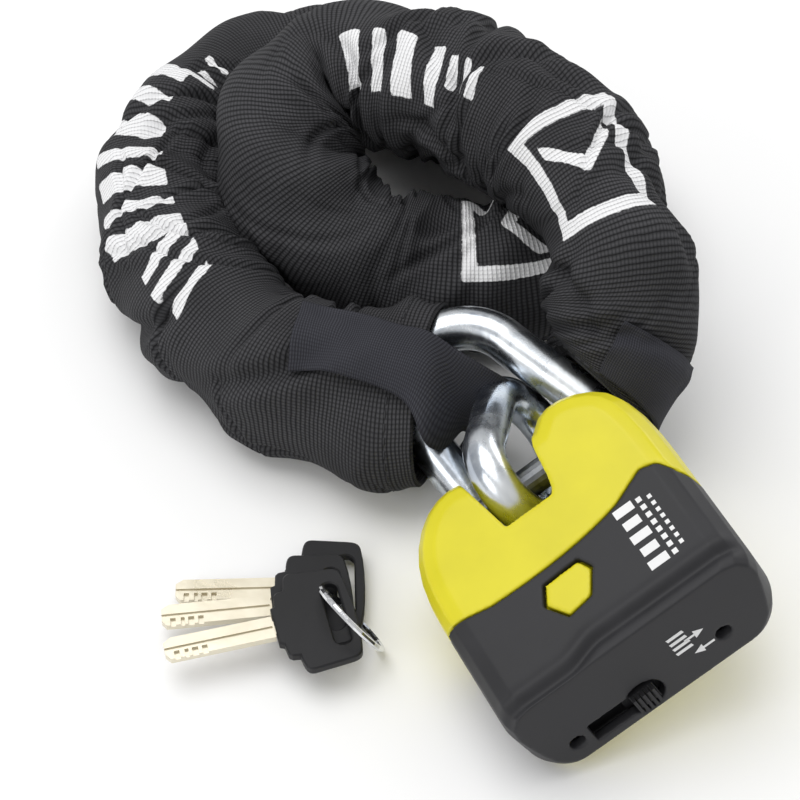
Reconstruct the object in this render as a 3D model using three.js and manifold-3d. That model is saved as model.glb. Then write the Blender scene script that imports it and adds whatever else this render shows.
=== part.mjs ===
// Chain lock: a steel chain in a woven sleeve, coiled nearly twice on the ground.
// One end of the chain carries a large ring, the other end is threaded through that ring
// and held in the notch of a lock body. Three keys on a split ring lie beside it.
// Millimetres, +Z up, origin at the middle of the footprint, on the ground.
import * as THREE from 'three';
import { mergeVertices } from 'three/addons/utils/BufferGeometryUtils.js';
import Module from 'manifold-3d';

const wasm = await Module();
wasm.setup();

// ---------------------------------------------------------------- driving dimensions
const GAP = 0.3;
// brings the middle of the whole footprint to the origin
const CENTRE = [3.2, -3.8, -0.1];

// chain and sleeve
const LINK = { wire: 6.2, arc: 10.4, reach: 19.8, count: 20 };
const LOCK_LINK = { wire: 11, arc: 12.5, reach: 24 };
const END_RING = { wire: 12.0, arc: 17.0, arcFar: 21.0, straight: 30.0 };
const SLEEVE = { radius: 20.0, wall: 0.9, lead: 17.5 };
// middle line of the chain, from the large ring round the coil to the open end; the
// sleeve covers it all but for a short lead at the ring
const CHAIN_ROUTE = [
  [6.8, -26.6, 28.5], [-9, -25, 24.4], [-26, -18, 21.4], [-40, -8, 20.2], [-52, 5, 20.2], [-62, 19, 20.2],
  [-69, 36, 20.2], [-73, 53, 20.2], [-74, 70, 20.2], [-70, 87, 20.2], [-62, 103, 20.2],
  [-49, 114, 20.2], [-32, 119, 20.2], [-15, 118, 20.2], [2, 114, 20.2], [19, 108, 20.2],
  [34, 99, 20.2], [46, 86, 20.2], [53, 70, 20.2], [53, 53, 20.2], [45, 38, 20.2], [31, 29, 20.2],
  [13, 27, 20.2], [-3, 29.5, 21], [-16, 33.5, 24.5], [-27, 39, 29.5], [-34.8, 48, 36],
  [-37.4, 59, 41.5], [-34.4, 69.8, 46.5], [-26, 77, 50], [-14.6, 78.6, 53], [-3, 74.8, 55], [9, 67.6, 57],
  [21.7, 58.2, 58.5], [33.6, 46.8, 60], [42.8, 34, 60], [49.4, 20.5, 58.3], [54.8, 7.5, 54.5], [59, -4, 49],
  [60.9, -13, 42.9], [60.3, -20.8, 35.8],
];

// Lock body, in its own frame: x across, y from front to back, z from the keyhole end up
// to the notch. The keyhole face slopes, from the ridge on the front down to the back.
const LOCK = { half: 36.5, front: -16, back: 16, corner: 12, round: 9, roundIn: 7 };
const LOCK_PLACE = {
  position: [58.5, -120.9, 27.7], across: [0.805, 0.385, 0.451], along: [-0.456, 0.888, 0.057],
};
const KEY_FACE = { ridge: 8, backEdge: 15 };
const HORN_RELIEF = { right: 11, front: 9.3, low: 50 };
const NOTCH = { left: -8.4, leftTop: -13.6, right: 5.6, rightTop: 11.5, floor: 51.6, top: 90 };
const COVER = { wall: 3, back: 12, corner: 9 };
const WINDOW = [[1.6, 32.7], [3.6, 28.9], [-0.4, 22.7], [-7.4, 21.6], [-11.2, 27.4], [-8.6, 32.3]];
const BOLT = { radius: 4.1, height: 67.0, left: -15, right: 12, travel: 17 };
const RACK = { left: -11, right: 12, low: 39.6, high: 44, front: -3.9, back: -0.4 };
const BARREL = { x: -4.6, y: 5.5, radius: 5, housing: 6.8, low: 9.2, top: 36.5 };
const PINION = { radius: BOLT.travel / Math.PI - 0.3, low: 39.6, high: 43.6 };
const KNOB = { left: -8, right: -1.2, halfWidth: 3.1, out: 1.8, ribs: 5 };
const SLOT = { left: -20.4, halfWidth: 3.45, recess: 5.3 };
const SCREWS = { cover_screw_left: [-24.5, 5], cover_screw_right: [20, 3] };
const SCREW = { radius: 1.8, hole: 2.2, length: 12 };

// End ring and lock link, where they lie
const END_RING_PLACE = {
  position: [24.6, -35.4, 24.2], along: [0.71, -0.62, -0.33], normal: [-0.16, -0.6, 0.78],
};
const LOCK_LINK_PLACE = {
  position: [28.0, -48.7, 28.5], along: [0.16, 0.93, -0.34], normal: [0.71, 0.13, 0.69],
};

// Straps: bands round the sleeve near its mouths (middle, direction of the sleeve, up)
const STRAP = { inner: 22.0, thick: 1.6, wide: 20 };
const STRAP_PLACES = {
  strap_a: { at: [-21.5, -20.2, 21.6], axis: [-0.87, 0.37, -0.15], up: [0.2, -0.3, 1], from: -1.1, to: 1.5 },
  strap_b: { at: [58.9, -10.3, 44.9], axis: [-0.18, 0.8, 0.58], up: [0.5, -0.6, 0.8], from: -1.6, to: 1.2 },
};

// Keys: fanned one above the other, with the split ring through their slots
const KEY = { blade: 28.6, bladeHigh: 6.6, bladeThick: 1.9, head: 21, headWide: 31, headThick: 2.6 };
const TANG = { long: 7, half: 2, thick: 1 };
const KEY_SLOT = { length: 20, width: 4.6, fromEnd: 4.9 };
const KEY_RING = { radius: 11, wire: 1.6, position: [-16.4, -88.3, 10.7], axis: [0.706, 0.525, 0.473] };
const KEY_PLACES = {
  key_1: { slot: [-18.2, -73.4, 4.1], turn: 1.8 },
  key_2: { slot: [-21.2, -79.9, 7.0], turn: 6.9 },
  key_3: { slot: [-20.4, -86.8, 10.0], turn: 14.6 },
};

// ---------------------------------------------------------------- materials
const material = (color, roughness, metalness) =>
  new THREE.MeshStandardMaterial({ color, roughness, metalness });
const zinc = () => material(0xb9c0c6, 0.35, 0.9);
const fabric = () => material(0x17181a, 0.95, 0);
const webbing = () => material(0x24252a, 0.9, 0);
const yellowPaint = () => material(0xeee12a, 0.45, 0);
const greyPlastic = () => material(0x3c3c40, 0.6, 0);
const blackPlastic = () => material(0x1b1b1d, 0.55, 0);
const darkSteel = () => material(0x3a3c40, 0.4, 0.9);
const nickelSilver = () => material(0xc9bd9e, 0.3, 0.9);
const brass = () => material(0xb89a4a, 0.35, 0.9);

// ---------------------------------------------------------------- solids
function toSolid(geometry) {
  const bare = geometry.index ? geometry.toNonIndexed() : geometry.clone();
  bare.deleteAttribute('normal');
  bare.deleteAttribute('uv');
  const merged = mergeVertices(bare, 1e-4);
  return new wasm.Manifold(new wasm.Mesh({
    numProp: 3,
    vertProperties: new Float32Array(merged.attributes.position.array),
    triVerts: new Uint32Array(merged.index.array),
  }));
}

function toGeometry(solid) {
  const mesh = solid.getMesh();
  const geometry = new THREE.BufferGeometry();
  geometry.setAttribute('position', new THREE.BufferAttribute(new Float32Array(mesh.vertProperties), 3));
  geometry.setIndex(new THREE.BufferAttribute(new Uint32Array(mesh.triVerts), 1));
  return geometry;
}

const box = (x0, x1, y0, y1, z0, z1) =>
  new THREE.BoxGeometry(x1 - x0, y1 - y0, z1 - z0)
    .translate((x0 + x1) / 2, (y0 + y1) / 2, (z0 + z1) / 2);

// a cylinder from one point to another along X, Y or Z
function rod(axis, radius, from, to, x, y, z, sides = 20) {
  const geometry = new THREE.CylinderGeometry(radius, radius, to - from, sides);
  if (axis === 'x') geometry.rotateZ(-Math.PI / 2);
  if (axis === 'z') geometry.rotateX(Math.PI / 2);
  const middle = (from + to) / 2;
  const place = { x: [middle, y, z], y: [x, middle, z], z: [x, y, middle] };
  return geometry.translate(...place[axis]);
}

// an outline drawn in x and z, made solid from y0 to y1
function slab(shape, y0, y1, options = {}) {
  const edge = options.edge ?? 0;
  const geometry = new THREE.ExtrudeGeometry(shape, {
    depth: y1 - y0 - 2 * edge,
    bevelEnabled: edge > 0,
    bevelThickness: edge,
    bevelSize: options.edgeIn ?? edge,
    bevelOffset: -(options.edgeIn ?? edge),
    bevelSegments: options.edgeSteps ?? 3,
    curveSegments: options.curveSteps ?? 8,
    steps: 1,
  });
  return geometry.rotateX(Math.PI / 2).translate(0, y1 - edge, 0);
}

// a chain link: a round bar bent into a loop with two straight sides, lying in x and y
function loopGeometry(wire, arc, arcFar, straight, sides, steps) {
  const geometry = new THREE.TorusGeometry(1, wire / 2, sides, steps).rotateZ(Math.PI / steps);
  const position = geometry.attributes.position;
  const point = new THREE.Vector3();
  for (let i = 0; i < position.count; i += 1) {
    const turn = ((Math.floor(i % (steps + 1)) % steps) / steps) * 2 * Math.PI + Math.PI / steps;
    point.fromBufferAttribute(position, i);
    const far = Math.cos(turn) > 0;
    const radius = far ? arcFar : arc;
    const out = Math.cos(turn) * (radius - 1) + (far ? straight / 2 : -straight / 2);
    position.setXYZ(i, point.x + out, point.y + Math.sin(turn) * (radius - 1), point.z);
  }
  return geometry;
}

const linkGeometry = (size, sides, steps) =>
  loopGeometry(size.wire, size.arc, size.arc, 2 * (size.reach - size.arc), sides, steps);

// ---------------------------------------------------------------- scene
const chainLock = new THREE.Group();
const layout = new THREE.Group();
layout.position.set(...CENTRE);
chainLock.add(layout);

function add(parent, name, geometry, look) {
  const mesh = new THREE.Mesh(geometry, look);
  mesh.name = name;
  parent.add(mesh);
  return mesh;
}

// turns a piece so that its x runs along one direction and its z along another
function aim(object, along, normal, position) {
  const x = new THREE.Vector3(...along).normalize();
  const z = new THREE.Vector3(...normal);
  z.addScaledVector(x, -z.dot(x)).normalize();
  const y = new THREE.Vector3().crossVectors(z, x);
  object.quaternion.setFromRotationMatrix(new THREE.Matrix4().makeBasis(x, y, z));
  object.position.set(...position);
}

// ---------------------------------------------------------------- sleeve and chain
const route = new THREE.CatmullRomCurve3(CHAIN_ROUTE.map((p) => new THREE.Vector3(...p)));

function sleeveGeometry() {
  const section = new THREE.Shape();
  section.absarc(0, 0, SLEEVE.radius, 0, 2 * Math.PI, false);
  const bore = new THREE.Path();
  bore.absarc(0, 0, SLEEVE.radius - SLEEVE.wall, 0, 2 * Math.PI, true);
  section.holes.push(bore);
  const length = route.getLength();
  const from = SLEEVE.lead / length;
  const points = [];
  for (let i = 0; i <= 39; i += 1) points.push(route.getPointAt(Math.min(1, from + ((1 - from) * i) / 39)));
  return new THREE.ExtrudeGeometry(section, {
    extrudePath: new THREE.CatmullRomCurve3(points), steps: 48, bevelEnabled: false, curveSegments: 9,
  });
}

// The upright links turn about their own end bars, and the flat links about the middle of
// their end arcs, so the pivots along the chain are a long and a short step apart by turns.
function pivotsAlongRoute() {
  const samples = route.getSpacedPoints(4000);
  const longStep = 2 * LINK.reach;
  const shortStep = 2 * (LINK.reach - LINK.arc);
  const pivots = [samples[0]];
  for (const point of samples) {
    const step = pivots.length % 2 === 1 ? longStep : shortStep;
    if (point.distanceTo(pivots[pivots.length - 1]) >= step) pivots.push(point);
  }
  return pivots;
}

function addChain(parent) {
  const pivots = pivotsAlongRoute();
  for (let i = 0; i < LINK.count; i += 1) {
    const along = pivots[i + 1].clone().sub(pivots[i]).normalize();
    const side = new THREE.Vector3(0, 0, 1).cross(along).normalize();
    let normal = i % 2 === 0 ? side : new THREE.Vector3().crossVectors(along, side);
    // the first link stands across the large ring it is hooked into
    if (i === 0) normal = new THREE.Vector3(...END_RING_PLACE.normal).cross(along);
    const middle = pivots[i].clone().add(pivots[i + 1]).multiplyScalar(0.5);
    const number = String(i + 1).padStart(2, '0');
    const mesh = add(parent, `chain_link_${number}`, linkGeometry(LINK, 7, 12), zinc());
    aim(mesh, along.toArray(), normal.toArray(), middle.toArray());
  }
}

add(layout, 'sleeve', sleeveGeometry(), fabric());
addChain(layout);
const ringSize = END_RING;
const endRing = add(
  layout, 'end_ring',
  loopGeometry(ringSize.wire, ringSize.arc, ringSize.arcFar, ringSize.straight, 10, 20), zinc(),
);
aim(endRing, END_RING_PLACE.along, END_RING_PLACE.normal, END_RING_PLACE.position);
const lockLink = add(layout, 'lock_link', linkGeometry(LOCK_LINK, 10, 20), zinc());
aim(lockLink, LOCK_LINK_PLACE.along, LOCK_LINK_PLACE.normal, LOCK_LINK_PLACE.position);

// ---------------------------------------------------------------- lock
const lock = new THREE.Group();
const across = new THREE.Vector3(...LOCK_PLACE.across).normalize();
const upward = new THREE.Vector3(...LOCK_PLACE.along);
upward.addScaledVector(across, -upward.dot(across)).normalize();
lock.quaternion.setFromRotationMatrix(
  new THREE.Matrix4().makeBasis(across, new THREE.Vector3().crossVectors(upward, across), upward),
);
lock.position.set(...LOCK_PLACE.position);
layout.add(lock);

// an outline drawn in y and z, made solid from x0 to x1
function prismX(points, x0, x1) {
  const shape = new THREE.Shape(points.map(([y, z]) => new THREE.Vector2(y, z)));
  const geometry = new THREE.ExtrudeGeometry(shape, { depth: x1 - x0, bevelEnabled: false, steps: 1 });
  const turn = new THREE.Matrix4().makeBasis(
    new THREE.Vector3(0, 1, 0), new THREE.Vector3(0, 0, 1), new THREE.Vector3(1, 0, 0),
  );
  return geometry.applyMatrix4(turn).translate(x0, 0, 0);
}

function lockOutline() {
  const { half, corner } = LOCK;
  const shape = new THREE.Shape();
  shape.moveTo(-half + corner, 0);
  shape.lineTo(half - corner, 0);
  shape.absarc(half - corner, corner, corner, -Math.PI / 2, 0, false);
  shape.lineTo(half, 45);
  shape.bezierCurveTo(half, 58, 35, 68, 29, 72);
  shape.bezierCurveTo(22, 77, 14, 78, 9.5, 72);
  shape.lineTo(-9.5, 71.5);
  shape.bezierCurveTo(-14, 74.5, -22, 74, -28, 68);
  shape.bezierCurveTo(-34, 62, -half, 54, -half, 43);
  shape.lineTo(-half, corner);
  shape.absarc(-half + corner, corner, corner, Math.PI, 1.5 * Math.PI, false);
  return shape;
}

// the notch between the horns, open at the top and right through from front to back
function notchGeometry() {
  const { left, leftTop, right, rightTop, floor, top } = NOTCH;
  const shape = new THREE.Shape();
  shape.moveTo(left, floor);
  shape.lineTo(right, floor);
  shape.bezierCurveTo(right + 3.2, floor + 5, right + 0.4, 66, rightTop + 1, 78);
  shape.lineTo(rightTop + 6, top);
  shape.lineTo(leftTop - 6, top);
  shape.lineTo(leftTop, 76);
  return slab(shape, -20, 20);
}

// everything on the open side of the keyhole face, moved inwards by a depth
function underKeyFace(depth) {
  const slope = KEY_FACE.ridge / (KEY_FACE.backEdge - LOCK.front);
  const high = (y) => slope * (KEY_FACE.backEdge - y) + depth;
  return prismX([[-24, -12], [24, -12], [24, high(24)], [-24, high(-24)]], -50, 50);
}

// everything below the seam between yellow steel and grey cover
function coverZone(gap) {
  const shape = new THREE.Shape();
  shape.moveTo(-50, 42 + gap);
  shape.lineTo(-33, 38 + gap);
  shape.lineTo(-22, 35.8 + gap);
  shape.quadraticCurveTo(2, 34.6 + gap, 17, 38.6 + gap);
  shape.lineTo(26.5, 42.8 + gap);
  shape.lineTo(31, 41.6 + gap);
  shape.lineTo(37, 33 + gap);
  shape.lineTo(50, 30 + gap);
  shape.lineTo(50, -10);
  shape.lineTo(-50, -10);
  return slab(shape, -30, COVER.back + gap);
}

const coreShape = (gap) => {
  const half = LOCK.half - COVER.wall - gap;
  const r = COVER.corner;
  const shape = new THREE.Shape();
  shape.moveTo(-half + r, 2.5 + gap);
  shape.lineTo(half - r, 2.5 + gap);
  shape.absarc(half - r, 2.5 + gap + r, r, -Math.PI / 2, 0, false);
  shape.lineTo(half, 47);
  shape.lineTo(-half, 47);
  shape.lineTo(-half, 2.5 + gap + r);
  shape.absarc(-half + r, 2.5 + gap + r, r, Math.PI, 1.5 * Math.PI, false);
  return shape;
};
const windowShape = (grow) => {
  const middle = [-3.8, 27.4];
  return new THREE.Shape(WINDOW.map(([x, z]) => new THREE.Vector2(
    middle[0] + (x - middle[0]) * grow, middle[1] + (z - middle[1]) * grow,
  )));
};

const faceSlope = Math.atan2(KEY_FACE.ridge, KEY_FACE.backEdge - LOCK.front);
// moves a shape drawn on the keyhole face (x, y, height above the face) into the lock
const onKeyFace = (geometry) => geometry
  .rotateX(-faceSlope)
  .translate(BARREL.x, BARREL.y, (KEY_FACE.backEdge - BARREL.y) * Math.tan(faceSlope));

const outer = () => toSolid(slab(lockOutline(), LOCK.front, LOCK.back, {
  edge: LOCK.round, edgeIn: LOCK.roundIn, edgeSteps: 3, curveSteps: 5,
}))
  .subtract(toSolid(underKeyFace(0)))
  .subtract(toSolid(notchGeometry()))
  .subtract(toSolid(box(0, HORN_RELIEF.right, HORN_RELIEF.front, 20, HORN_RELIEF.low, 90)));

function bodyGeometry() {
  const core = toSolid(slab(coreShape(GAP), LOCK.front + COVER.wall + GAP, COVER.back + 1))
    .subtract(toSolid(underKeyFace(COVER.wall + GAP)));
  const boss = toSolid(slab(windowShape(0.95), LOCK.front + 0.4, -10));
  const boltEnd = BOLT.right + BOLT.travel + 0.6;
  let body = outer()
    .subtract(toSolid(coverZone(GAP)))
    .add(core)
    .add(boss)
    .subtract(toSolid(onKeyFace(box(-19.5, 7, -6.5, 6.5, 0, 4.8))))
    .subtract(toSolid(rod('z', BARREL.housing + GAP, 0, RACK.low, BARREL.x, BARREL.y, 0, 24)))
    .subtract(toSolid(box(RACK.left - 1, boltEnd, RACK.front - 0.5, 12.2, 39, 44.6)))
    .subtract(toSolid(box(9, boltEnd, -2.6, 2.6, 44, BOLT.height)))
    .subtract(toSolid(rod('x', BOLT.radius + 0.4, BOLT.left - 0.6, boltEnd, 0, 0, BOLT.height)));
  for (const [x, y] of Object.values(SCREWS)) {
    body = body.subtract(toSolid(rod('z', SCREW.radius + GAP, 0, 22, x, y, 0, 10)));
  }
  return toGeometry(body);
}

function coverGeometry() {
  let cover = outer()
    .intersect(toSolid(coverZone(0)))
    .subtract(toSolid(slab(coreShape(0), LOCK.front + COVER.wall, COVER.back + 2))
      .subtract(toSolid(underKeyFace(COVER.wall))))
    .subtract(toSolid(slab(windowShape(1.05), -20, -10)))
    .subtract(toSolid(onKeyFace(rod('z', SLOT.recess, -3, 8, 0, 0, 0, 24))))
    .subtract(toSolid(onKeyFace(box(SLOT.left - BARREL.x, 0, -SLOT.halfWidth, SLOT.halfWidth, -3, 8))));
  for (const [x, y] of Object.values(SCREWS)) {
    cover = cover.subtract(toSolid(rod('z', SCREW.hole, -3, 22, x, y, 0, 12)));
  }
  return toGeometry(cover);
}

function dustCoverGeometry() {
  let slider = toSolid(onKeyFace(box(-5.9, 5.9, -5.9, 5.9, 3.4, 4.4)))
    .add(toSolid(onKeyFace(box(
      KNOB.left - BARREL.x, KNOB.right - BARREL.x, -KNOB.halfWidth, KNOB.halfWidth, 0.2, 3.6,
    ))));
  const step = (KNOB.right - KNOB.left) / KNOB.ribs;
  for (let i = 0; i < KNOB.ribs; i += 1) {
    const x = KNOB.left - BARREL.x + step * (i + 0.2);
    const rib = box(x, x + step * 0.6, -KNOB.halfWidth, KNOB.halfWidth, -KNOB.out, 0.4);
    slider = slider.add(toSolid(onKeyFace(rib)));
  }
  return toGeometry(slider);
}

function barrelGeometry() {
  const keyhole = box(BARREL.x - 3.4, BARREL.x + 3.4, BARREL.y - 1.3, BARREL.y + 1.3, 0, 26);
  const neck = rod('z', 3, BARREL.top - 1, PINION.low - 0.3, BARREL.x, BARREL.y, 0, 12);
  return toGeometry(toSolid(rod('z', BARREL.radius, BARREL.low, BARREL.top, BARREL.x, BARREL.y, 0, 24))
    .add(toSolid(neck)).subtract(toSolid(keyhole)));
}

function housingGeometry() {
  return toGeometry(toSolid(rod('z', BARREL.housing, BARREL.low + 0.2, BARREL.top, BARREL.x, BARREL.y, 0, 24))
    .subtract(toSolid(rod('z', BARREL.radius + GAP, 0, 60, BARREL.x, BARREL.y, 0, 24))));
}

const carrierGeometry = () => toGeometry(
  toSolid(box(RACK.left, RACK.right, RACK.front, RACK.back, RACK.low, RACK.high))
    .add(toSolid(box(9.4, RACK.right, -2.2, 2.2, RACK.low, BOLT.height - BOLT.radius - GAP))),
);

add(lock, 'lock_body', bodyGeometry(), yellowPaint());
add(lock, 'lock_cover', coverGeometry(), greyPlastic());
add(lock, 'dust_cover', dustCoverGeometry(), blackPlastic());
add(lock, 'key_barrel', barrelGeometry(), brass());
add(lock, 'barrel_housing', housingGeometry(), brass());
const pinionGeometry = rod('z', PINION.radius, PINION.low, PINION.high, BARREL.x, BARREL.y, 0, 24);
add(lock, 'drive_pinion', pinionGeometry, darkSteel());
add(lock, 'bolt_rack', carrierGeometry(), darkSteel());
add(lock, 'locking_bolt', rod('x', BOLT.radius, BOLT.left, BOLT.right, 0, 0, BOLT.height, 20), darkSteel());
for (const [name, [x, y]] of Object.entries(SCREWS)) {
  add(lock, name, rod('z', SCREW.radius, 6, 6 + SCREW.length, x, y, 0, 10), darkSteel());
}

// ---------------------------------------------------------------- straps
for (const [name, place] of Object.entries(STRAP_PLACES)) {
  const outer = STRAP.inner + STRAP.thick;
  const band = new THREE.Shape();
  band.absarc(0, 0, outer, place.from, place.to, false);
  band.absarc(0, 0, STRAP.inner, place.to, place.from, true);
  const geometry = new THREE.ExtrudeGeometry(band, {
    depth: STRAP.wide, bevelEnabled: false, curveSegments: 14, steps: 1,
  }).translate(0, 0, -STRAP.wide / 2);
  const mesh = add(layout, name, geometry, webbing());
  // the middle of the band stands on the upper side of the sleeve
  const axis = new THREE.Vector3(...place.axis).normalize();
  const up = new THREE.Vector3(...place.up);
  up.addScaledVector(axis, -up.dot(axis)).normalize();
  aim(mesh, up.toArray(), axis.toArray(), place.at);
}

// ---------------------------------------------------------------- keys
// each key is drawn about its slot, with the blade pointing to -x
const headEnd = KEY_SLOT.fromEnd;
const headStart = headEnd - KEY.head;

function keyHeadGeometry() {
  const w = KEY.headWide / 2;
  const shape = new THREE.Shape();
  // a short neck at the blade, then two shoulders, then the full width to the outer end
  shape.moveTo(headStart, -5.6);
  shape.lineTo(headStart + 1.2, -6.2);
  shape.lineTo(headStart + 1.6, -9.4);
  shape.lineTo(headStart + 2.4, -10.2);
  shape.lineTo(headStart + 4.4, -10.5);
  shape.bezierCurveTo(headStart + 4.8, -w + 1.4, headStart + 5.2, -w, headStart + 7.2, -w);
  shape.lineTo(headEnd - 4.2, -w + 0.9);
  shape.bezierCurveTo(headEnd - 1.6, -w + 1.2, headEnd - 1, -w + 2, headEnd - 0.7, -w + 4);
  shape.bezierCurveTo(headEnd + 0.4, -6, headEnd + 0.4, 6, headEnd - 0.7, w - 4);
  shape.bezierCurveTo(headEnd - 1, w - 2, headEnd - 1.6, w - 1.2, headEnd - 4.2, w - 0.9);
  shape.lineTo(headStart + 7.2, w);
  shape.bezierCurveTo(headStart + 5.2, w, headStart + 4.8, w - 1.4, headStart + 4.4, 10.5);
  shape.lineTo(headStart + 2.4, 10.2);
  shape.lineTo(headStart + 1.6, 9.4);
  shape.lineTo(headStart + 1.2, 6.2);
  shape.lineTo(headStart, 5.6);
  const hole = new THREE.Path();
  const straight = KEY_SLOT.length / 2 - KEY_SLOT.width / 2;
  hole.absarc(0, straight, KEY_SLOT.width / 2, 0, Math.PI, false);
  hole.absarc(0, -straight, KEY_SLOT.width / 2, Math.PI, 2 * Math.PI, false);
  shape.holes.push(hole);
  const plate = new THREE.ExtrudeGeometry(shape, {
    depth: KEY.headThick - 0.8, bevelEnabled: true, bevelThickness: 0.4, bevelSize: 0.4,
    bevelOffset: -0.4, bevelSegments: 1, curveSegments: 6, steps: 1,
  }).translate(0, 0, -KEY.headThick / 2 + 0.4);
  const side = TANG.half + GAP;
  const deep = TANG.thick / 2 + GAP;
  const pocket = box(headStart - 1, headStart + TANG.long + GAP, -side, side, -deep, deep);
  return toGeometry(toSolid(plate).subtract(toSolid(pocket)));
}

function keyBladeGeometry() {
  const half = KEY.bladeHigh / 2;
  const tip = headStart - KEY.blade;
  const shape = new THREE.Shape();
  shape.moveTo(tip, -half + 1.6);
  shape.lineTo(tip + 1.2, -half);
  shape.lineTo(headStart - GAP, -half);
  shape.lineTo(headStart - GAP, -TANG.half);
  shape.lineTo(headStart + TANG.long, -TANG.half);
  shape.lineTo(headStart + TANG.long, TANG.half);
  shape.lineTo(headStart - GAP, TANG.half);
  shape.lineTo(headStart - GAP, half);
  shape.lineTo(tip + 2, half);
  shape.lineTo(tip, half - 1.4);
  const thick = KEY.bladeThick;
  let blade = toSolid(new THREE.ExtrudeGeometry(shape, { depth: thick, bevelEnabled: false, steps: 1 })
    .translate(0, 0, -thick / 2));
  // the tang inside the head is thinner than the blade
  for (const sign of [-1, 1]) {
    const skin = box(headStart - GAP, headStart + 20, -3, 3, -1, 1);
    blade = blade.subtract(toSolid(skin.translate(0, 0, sign * (1 + TANG.thick / 2))));
  }
  // a groove along the blade, and the cuts near the tip
  blade = blade.subtract(toSolid(box(tip - 1, headStart - 0.6, -0.5, 0.3, thick / 2 - 0.5, 3)));
  [[2.2, 1.4], [4.9, 1.0], [6.8, 1.6], [9.4, 1.4]].forEach(([x, long]) => {
    blade = blade.subtract(toSolid(box(tip + x, tip + x + long, -half - 1, -1.1, thick / 2 - 0.8, 3)));
  });
  return toGeometry(blade);
}

for (const [name, place] of Object.entries(KEY_PLACES)) {
  const key = new THREE.Group();
  key.position.set(...place.slot);
  key.rotation.z = THREE.MathUtils.degToRad(place.turn);
  layout.add(key);
  add(key, `${name}_head`, keyHeadGeometry(), blackPlastic());
  add(key, `${name}_blade`, keyBladeGeometry(), nickelSilver());
}
const ringShape = new THREE.TorusGeometry(KEY_RING.radius, KEY_RING.wire / 2, 7, 28);
const splitRing = add(layout, 'split_ring', ringShape, zinc());
aim(splitRing, [0.597, -0.802, 0], KEY_RING.axis, KEY_RING.position);

export default chainLock;
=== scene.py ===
import bpy
import math
import numpy as np
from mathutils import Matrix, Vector


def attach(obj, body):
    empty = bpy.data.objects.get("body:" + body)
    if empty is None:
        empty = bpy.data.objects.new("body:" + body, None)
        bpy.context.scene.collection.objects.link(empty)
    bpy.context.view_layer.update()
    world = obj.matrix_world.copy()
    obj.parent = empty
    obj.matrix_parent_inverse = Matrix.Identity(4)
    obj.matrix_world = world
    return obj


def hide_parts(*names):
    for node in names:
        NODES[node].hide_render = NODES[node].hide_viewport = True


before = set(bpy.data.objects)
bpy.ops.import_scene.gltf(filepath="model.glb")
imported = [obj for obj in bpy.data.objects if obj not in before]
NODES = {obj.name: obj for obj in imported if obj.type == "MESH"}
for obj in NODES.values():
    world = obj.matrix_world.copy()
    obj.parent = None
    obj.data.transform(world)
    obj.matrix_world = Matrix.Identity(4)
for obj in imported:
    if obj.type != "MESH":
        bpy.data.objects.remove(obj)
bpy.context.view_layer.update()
scene = bpy.context.scene
CENTRE = np.array([3.2, -3.8, -0.1])  # mm, from the layout's origin to the shared frame's

# ------------------------------------------------------------ camera
target = Vector((-0.0008, -0.0070, -0.0001))
elevation = math.radians(48)
camera_distance = 0.62
camera_data = bpy.data.cameras.new("camera")
camera_data.sensor_width = 36
camera_data.lens = 97.5
camera_data.clip_start = 0.01
camera = bpy.data.objects.new("camera", camera_data)
camera.location = target + Vector((0, -math.cos(elevation), math.sin(elevation))) * camera_distance
camera.rotation_euler = (math.pi / 2 - elevation, 0, 0)
scene.collection.objects.link(camera)
scene.camera = camera

# ------------------------------------------------------------ routes
# the sleeve's centre line in mm, from the mouth at the large ring to the open one
ROUTE = [
    [4.0, -29.2, 27.0], [-9.5, -25, 23.8], [-26, -18, 21.4], [-40, -8, 20.2], [-52, 5, 20.2],
    [-62, 19, 20.2], [-69, 36, 20.2], [-73, 53, 20.2], [-74, 70, 20.2], [-69.5, 86.5, 20.2],
    [-61, 101.5, 20.2], [-48, 112.5, 20.2], [-32, 118, 20.2], [-15, 117, 20.2], [1, 111.5, 20.2],
    [17, 104, 20.2], [31, 94.5, 20.2], [43, 83, 20.2], [51, 68.5, 20.2], [52.5, 53, 20.2],
    [45, 38, 20.2], [31, 29, 20.2], [13, 27, 20.2], [-3, 29.5, 21], [-16, 33.5, 24.5],
    [-27, 39, 29.5], [-34.8, 48, 36], [-37.4, 59, 41.5], [-34.4, 69.8, 46.5], [-26, 77, 50],
    [-14.6, 77.6, 53], [-3, 73.8, 55], [9, 66.8, 57], [21.7, 57.6, 58.2], [33.4, 46.3, 59.5],
    [42.3, 33.6, 59.7], [48, 20.4, 58.3], [51.6, 9.2, 55], [54.6, 0, 51], [55.8, -8, 44.5],
    [54.3, -15, 37], [51.6, -21.5, 30], [48.6, -27, 25],
]
SIZE = 20.4  # mm, mean radius of the sleeve


def catmull(points, per):
    """A smooth line through the points, with `per` steps from each to the next."""
    p = np.array(points, float)
    p = np.vstack([2 * p[0] - p[1], p, 2 * p[-1] - p[-2]])
    out = []
    for i in range(1, len(p) - 2):
        for t in np.arange(per) / per:
            a, b, c, d = p[i - 1], p[i], p[i + 1], p[i + 2]
            out.append(0.5 * (2 * b + (c - a) * t + (2 * a - 5 * b + 4 * c - d) * t * t
                              + (3 * b - a - 3 * c + d) * t ** 3))
    out.append(p[-2])
    return np.array(out)


def even(points, step):
    """Distances along a line, and the line, at even steps."""
    dist = np.r_[0, np.cumsum(np.linalg.norm(np.diff(points, axis=0), axis=1))]
    count = int(round(dist[-1] / step))
    s = np.linspace(0, dist[-1], count + 1)
    return s, np.stack([np.interp(s, dist, points[:, k]) for k in range(3)], 1)


def unit(v):
    v = np.asarray(v, float)
    return v / np.linalg.norm(v, axis=-1, keepdims=True)


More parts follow.
